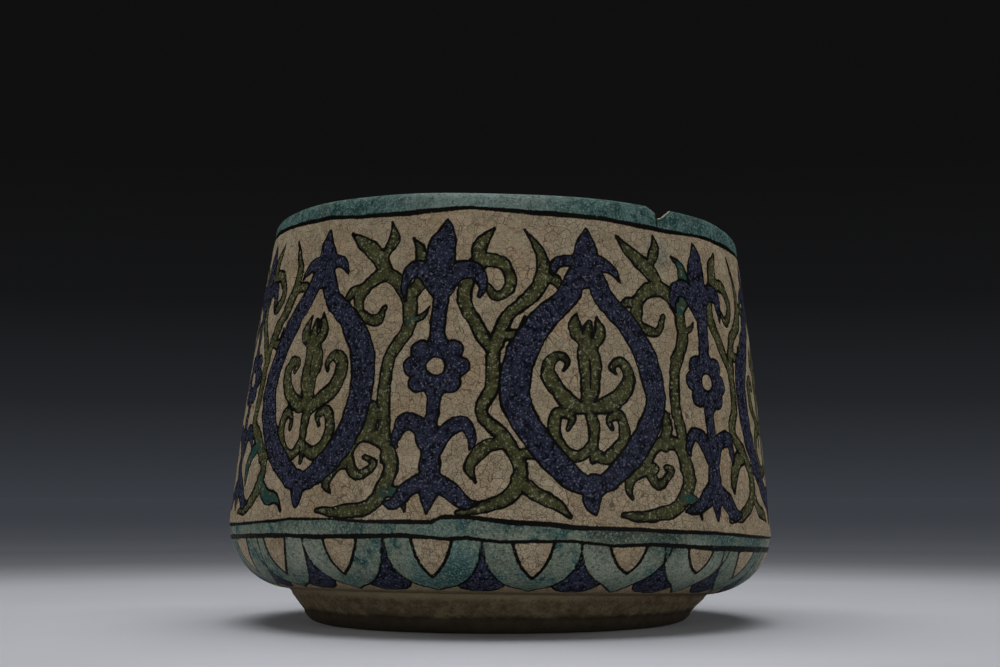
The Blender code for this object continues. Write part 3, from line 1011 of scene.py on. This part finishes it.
class Shader(Nodes):
    """The nodes of a new material, with places in millimetres."""

    def __init__(self, name):
        self.material = bpy.data.materials.new(name)
        self.material.use_nodes = True
        super().__init__(self.material.node_tree)
        self.surface = self.tree.nodes["Principled BSDF"]
        place = self.node("TexCoord").outputs["Object"]
        self.place = self.vector("MULTIPLY", place, 3 * [1.0 / MM])
        self.height = self.node("SeparateXYZ", {"Vector": self.place}).outputs["Z"]

    def mix(self, share, under, over):
        return self.node("Mix", {0: share, 6: under, 7: over}, data_type="RGBA").outputs[2]

    def noise(self, size, detail=2.0, roughness=0.5, place=None, output="Fac"):
        inputs = {"Vector": place or self.place, "Scale": 1.0 / size, "Detail": detail}
        return self.node("TexNoise", {**inputs, "Roughness": roughness}).outputs[output]

    def ramp(self, value, *fade):
        inputs = dict(enumerate((value, *fade)))
        return self.node("MapRange", inputs, interpolation_type="SMOOTHSTEP").outputs["Result"]

    def lumps(self, height, *noise):
        return self.math("MULTIPLY", self.noise(*noise), height)

    def cloud(self, size, detail, roughness, *fade):
        return self.ramp(self.noise(size, detail, roughness), *fade)

    def mottled(self, colour, layers):
        for paint, *cloud in layers:
            colour = self.mix(self.cloud(*cloud), colour, paint)
        return colour

    def field(self, name):
        return self.node("Attribute", attribute_name=name).outputs["Fac"]

    def distance(self, centre):
        return self.vector("DISTANCE", self.place, centre, output="Value")

    def along(self, direction):
        """How far out each point lies in a direction."""
        return self.vector("DOT_PRODUCT", self.place, direction, output="Value")

    def patch(self, bearing, height, radius, share):
        """A share that fades out at a radius from a place on the wall."""
        angle = math.radians(bearing)
        out = BOWL.at(BOWL.crossing(height, 0.0, LIP_TOP))[0, 0]
        centre = (out * math.cos(angle), out * math.sin(angle), height)
        return self.ramp(self.distance(centre), radius, CORE * radius, 0.0, share)

    def sway(self, size, amount, detail=1.0):
        """Noise as a length between about minus and plus amount."""
        swing = NOISE_SWING * amount
        return self.math("MULTIPLY_ADD", self.noise(size, detail), swing, -swing / 2)

    def cracks(self, cell, half, place):
        """1 on the lines between cells of that size, lines of that half width."""
        inputs = {"Vector": place, "Scale": 1.0 / cell}
        edge = self.node("TexVoronoi", inputs, feature="DISTANCE_TO_EDGE").outputs["Distance"]
        return self.ramp(edge, half / cell, CRACKLE_CORE * half / cell)

    def warped(self, size, amount):
        centred = self.vector("SUBTRACT", self.noise(size, 1.0, output="Color"), 3 * [0.5])
        return self.vector("ADD", self.place, self.vector("MULTIPLY", centred, 3 * [NOISE_SWING * amount]))

    def finish(self, colour, roughness, relief, bump, shine):
        lumps = self.node("Bump", {"Height": relief, "Strength": bump, "Distance": MM})
        self.fill(self.surface, {
            "Base Color": colour, "Roughness": roughness, "Normal": lumps.outputs["Normal"],
            "Specular IOR Level": shine,
        })
        return self.material


def cream_ground(glaze, cells):
    """Cream that differs from cell to cell, with clouds, stains, and grime with painted shade below."""
    colour = glaze.mottled(CREAM, CREAM_CLOUDS)
    chance = glaze.node("SeparateColor", {"Color": cells}).outputs
    colour = glaze.mix(glaze.math("MULTIPLY", chance[0], CELL_DULLNESS), colour, CREAM_DULL)
    colour = glaze.mix(glaze.ramp(chance[1], *CELL_PINK), colour, CREAM_PINK)
    colour = glaze.mottled(colour, CREAM_SPOTS)
    # Darker towards the foot: grime, and painted shade for the underside of the dish
    height = glaze.math("ADD", glaze.height, glaze.sway(*GRIME_AND_SHADE_SWAY))
    return glaze.mix(glaze.ramp(height, *GRIME_AND_SHADE_FADE), colour, GRIME_AND_SHADE)


def crackle(glaze, place):
    """A wide net, and a fine one in patches, mostly low on the bowl."""
    wide = glaze.cracks(*WIDE_NET, place)
    wide = glaze.math("MULTIPLY", wide, glaze.cloud(*CRACKLE_STRENGTH))
    patches = glaze.math("ADD", glaze.noise(FINE_PATCH), glaze.ramp(glaze.height, *CRACKLE_LOW))
    fine = glaze.cracks(*FINE_NET, place)
    fine = glaze.math("MULTIPLY", fine, glaze.ramp(patches, *CRACKLE_FINE))
    return glaze.math("MAXIMUM", wide, fine)


def hairline(glaze):
    x, depth = CHIP_PROFILE[CHIP_LOW_STATION]
    bearing = CHIP_BEARING + (x - CHIP_SKEW * LIP_THICKNESS / 2) / MOUTH_RADIUS
    outward = Vector((math.cos(bearing), math.sin(bearing), 0.0))
    beside = Vector((-outward.y, outward.x, 0.0))
    top = Vector(handmade(np.array([[*(MOUTH_RADIUS * outward.xy), HEIGHT - depth]]))[0])
    off = glaze.math("SUBTRACT", glaze.along(beside), top @ beside)
    off = glaze.math("ADD", off, glaze.sway(*CRACK_SWAY))
    line = glaze.ramp(glaze.math("ABSOLUTE", off), CRACK_HALF_WIDTH, CORE * CRACK_HALF_WIDTH)
    run = glaze.ramp(glaze.height, top.z - CRACK_LENGTH, top.z - CRACK_TAIL * CRACK_LENGTH)
    near = glaze.ramp(glaze.along(outward), 0.0, MOUTH_RADIUS)
    return glaze.math("MULTIPLY", glaze.math("MULTIPLY", line, run), near)


def outlined(glaze, colour, gap, paint):
    """A paint with a dark outline, thick and thin by turns."""
    colour = glaze.mix(glaze.ramp(gap, *FILL_EDGE), colour, paint)
    off = glaze.math("SUBTRACT", glaze.math("ABSOLUTE", gap), glaze.cloud(*OUTLINE_HALF_WIDTH))
    return glaze.mix(glaze.ramp(off, *OUTLINE_EDGE), colour, INK)


def olive(glaze, gap):
    """Brighter in the middle of a stroke, with pale specks and a few turquoise leaves."""
    colour = glaze.mottled(GREEN_DARK, GREEN_CLOUDS)
    colour = glaze.mix(glaze.ramp(gap["green"], *GREEN_MIDDLE), colour, GREEN_BRIGHT)
    colour = glaze.mottled(colour, GREEN_SPECKS)
    leaf = glaze.ramp(gap["accent"], *FILL_EDGE)
    return glaze.mix(glaze.math("MULTIPLY", leaf, glaze.cloud(*ACCENT_PATCHES)), colour, ACCENT)


def turquoise(glaze):
    """Mottled, greyer and darker below, with paler and duller places."""
    colour = glaze.mottled(TEAL_DARK, TEAL_CLOUDS)
    high, low, dark = [
        glaze.ramp(glaze.height, *fade) for fade in (TEAL_GREY_HIGH, TEAL_GREY_LOW, TEAL_DARK_LOW)
    ]
    grey = glaze.math("MULTIPLY", glaze.cloud(*TEAL_GREY_PATCHES), glaze.math("ADD", high, low))
    colour = glaze.mottled(glaze.mix(grey, colour, TEAL_GREY), TEAL_SMOKE)
    for paint, *place in TEAL_PATCHES:
        colour = glaze.mix(glaze.patch(*place), colour, paint)
    return glaze.mottled(glaze.mix(dark, colour, TEAL_DARK), TEAL_FLECKS)


def painted_glaze():
    """Crackled cream, the paints over it, and ink and grain over them."""
    glaze = Shader("painted_glaze")
    wobble = glaze.math("ADD", glaze.sway(*PAINT_SWAY), glaze.sway(*PAINT_TREMBLE))
    gap = {paint: glaze.math("ADD", glaze.field(paint), wobble) for paint in PAINTS}
    place = glaze.warped(*CRACKLE_WARP)
    cells = glaze.node("TexVoronoi", {"Vector": place, "Scale": 1.0 / CRACKLE_CELL})
    cracks = crackle(glaze, place)
    colour = glaze.mix(cracks, cream_ground(glaze, cells.outputs["Color"]), CRACKLE)
    colour = glaze.mix(glaze.patch(*TEAL_RUN), colour, TEAL)
    colour = outlined(glaze, colour, gap["green"], olive(glaze, gap))
    colour = outlined(glaze, colour, gap["blue"], glaze.mottled(BLUE_DARK, BLUE_CLOUDS))
    colour = glaze.mix(glaze.ramp(gap["teal"], *FILL_EDGE), colour, turquoise(glaze))
    ink = glaze.ramp(glaze.math("ADD", glaze.field("ink"), glaze.sway(*INK_TREMBLE)), *INK_EDGE)
    colour = glaze.mix(glaze.math("MULTIPLY", ink, glaze.cloud(*INK_WEAR)), colour, INK)
    colour = glaze.mix(hairline(glaze), colour, INK)
    colour = glaze.mottled(colour, GLAZE_GRAIN)
    relief = glaze.math("MULTIPLY_ADD", cracks, -CRACKLE_DEPTH, glaze.lumps(*GLAZE_LUMPS))
    return glaze.finish(colour, glaze.cloud(*GLAZE_ROUGHNESS), relief, *GLAZE_FINISH)


def bare_clay():
    """Stained clay, darkened further as painted shade, with turning rings, paler on the dish and dark at
    the heel with stain and painted shade.
    """
    clay = Shader("bare_clay")
    rings = clay.noise(*CLAY_RINGS, clay.vector("MULTIPLY", clay.place, CLAY_RING_STRETCH))
    # Painted shade: the foot's stained clay is darkened for the shade it stands in
    colour = clay.mottled(CLAY_STAIN_AND_SHADE, CLAY_CLOUDS)
    colour = clay.mix(clay.ramp(rings, *RING_FADE), colour, CLAY_DARK)
    colour = clay.mottled(colour, CLAY_SPECKS)
    colour = clay.mix(clay.ramp(clay.height, *DISH_FADE), colour, CLAY_DISH)
    # Darker at the heel: a dark stain, and painted shade under the foot's rounding
    heel = clay.math("ADD", clay.height, clay.sway(*HEEL_SWAY))
    colour = clay.mix(clay.ramp(heel, *HEEL_STAIN_AND_SHADE_FADE), colour, CLAY_DARK)
    relief = clay.math("MULTIPLY_ADD", rings, CLAY_RING_HEIGHT, clay.lumps(*CLAY_LUMPS))
    return clay.finish(colour, clay.cloud(*CLAY_ROUGHNESS), relief, *CLAY_FINISH)


def broken_clay():
    """The pale, rough clay of the wall, which shows in the chip."""
    clay = Shader("broken_clay")
    colour = clay.mottled(FRACTURE, FRACTURE_CLOUDS)
    roughness = clay.cloud(*FRACTURE_ROUGHNESS)
    return clay.finish(colour, roughness, clay.lumps(*FRACTURE_LUMPS), *FRACTURE_FINISH)


def dress():
    """Makes every piece for its node; the slot named beside each is not applied."""
    glaze = painted_glaze()
    clay = bare_clay()
    fracture = broken_clay()
    pieces = [
        (coated("rim_coat", RIM_OUT, RIM_IN, COLUMNS, glaze), "rim_glaze", "turquoise_glaze"),
        (coated("frieze_coat", STRIPE_TOP, RIM_OUT, COLUMNS, glaze), "frieze_glaze", "painted_glaze"),
        (coated("stripe_coat", STRIPE_LOW, STRIPE_TOP, COLUMNS, glaze), "stripe_glaze", "turquoise_glaze"),
        (coated("petal_coat", PETAL_LOW, STRIPE_LOW, COLUMNS, glaze), "petal_glaze", "painted_glaze"),
        (coated("inside_coat", RIM_IN, BOWL.length, CLAY_COLUMNS, glaze), "inside_glaze", "cream_glaze"),
        (clay_piece("foot_body", foot_outline(), clay), "foot_ring", "bare_clay"),
        (clay_piece("dish_body", dish_outline(), clay), "base_dish", "bare_clay"),
        (clay_piece("wall_body", wall_outline(), fracture), "wall", "bare_clay"),
    ]
    cutter = chip_cutter(fracture)
    for piece, node, slot in pieces:
        if node in CHIPPED_NODES:
            cut(piece, cutter)
        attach(piece, "root")
        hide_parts(node)
    bpy.data.objects.remove(cutter)


def fill_ramp(ramp, stops):
    """Gives a new ramp these stops, of which the first is at its start."""
    ramp.elements[-1].position = stops[-1][0]
    for place, _ in stops[1:-1]:
        ramp.elements.new(place)
    for element, (_, colour) in zip(ramp.elements, stops):
        element.color = (*colour, 1.0)


def floor():
    """A pale table top with painted light that darkens with distance into a painted, emitted glow like the
    backdrop's.
    """
    table = Shader("pale_floor")
    away = table.distance(FLOOR_MIDDLE)
    far = FLOOR_PAINTED_LIGHT[-1][0]
    # Painted light: the floor's colour falls off with the distance from its palest place
    ramp = table.node("ValToRGB", {"Fac": table.math("DIVIDE", away, far)})
    fill_ramp(ramp.color_ramp, [(at / far, Vector(FLOOR_TINT) * share) for at, share in FLOOR_PAINTED_LIGHT])
    # Painted glow: the far floor emits light to look like the backdrop
    painted_glow = table.ramp(away, *FLOOR_PAINTED_GLOW_FADE)
    table.fill(table.surface, {"Emission Color": FLOOR_PAINTED_GLOW, "Emission Strength": painted_glow})
    grain = table.noise(FLOOR_GRAIN)
    pale = table.finish(ramp.outputs["Color"], table.cloud(*FLOOR_ROUGHNESS), grain, *FLOOR_FINISH)
    shape = bmesh.new()
    bmesh.ops.create_circle(shape, cap_ends=True, segments=FLOOR_SEGMENTS, radius=FLOOR_RADIUS * MM)
    mesh = meshed("floor", shape)
    mesh.materials.append(pale)
    linked("floor", mesh)


def light():
    """A softbox overhead, two low cards in front, and two higher ones behind."""
    for name, (place, width, height, power, shows) in LAMPS.items():
        data = bpy.data.lights.new(name, "AREA")
        data.shape = "RECTANGLE"
        data.size = width
        data.size_y = height
        data.energy = power
        made = linked(name, data)
        made.location = place
        made.rotation_euler = (Vector(LAMP_TARGET) - Vector(place)).to_track_quat("-Z", "Y").to_euler()
        made.visible_camera = False
        made.visible_glossy = shows


def world():
    """Soft even light, which sight lines and shines see as a dark gradient."""
    made = bpy.data.worlds.new("studio")
    bpy.context.scene.world = made
    made.use_nodes = True
    made.node_tree.nodes.clear()
    studio = Nodes(made.node_tree)
    direction = studio.node("TexCoord").outputs["Generated"]
    rise = studio.node("SeparateXYZ", {0: direction}).outputs["Z"]
    ramp = studio.node("ValToRGB", {"Fac": rise})
    fill_ramp(ramp.color_ramp, BACKDROP)
    seen = studio.node("Background", {"Color": ramp.outputs["Color"]})
    soft = studio.node("Background", {"Color": WHITE, "Strength": SOFT_LIGHT})
    ray = studio.node("LightPath").outputs
    sight = studio.math("MAXIMUM", ray["Is Camera Ray"], ray["Is Glossy Ray"])
    sight = studio.math("MAXIMUM", sight, ray["Is Transmission Ray"])
    mix = studio.node("MixShader", {0: sight, 1: soft.outputs[0], 2: seen.outputs[0]})
    studio.node("OutputWorld", {"Surface": mix.outputs[0]})


def camera():
    data = bpy.data.cameras.new("camera")
    data.lens = CAMERA_LENS
    data.sensor_width = SENSOR_WIDTH
    made = linked("camera", data)
    made.location = CAMERA_PLACE
    made.rotation_euler = (math.pi / 2 + CAMERA_PITCH, 0.0, CAMERA_YAW)
    bpy.context.scene.camera = made


camera()
floor()
light()
world()
dress()
bpy.context.scene.view_settings.view_transform = "Standard"
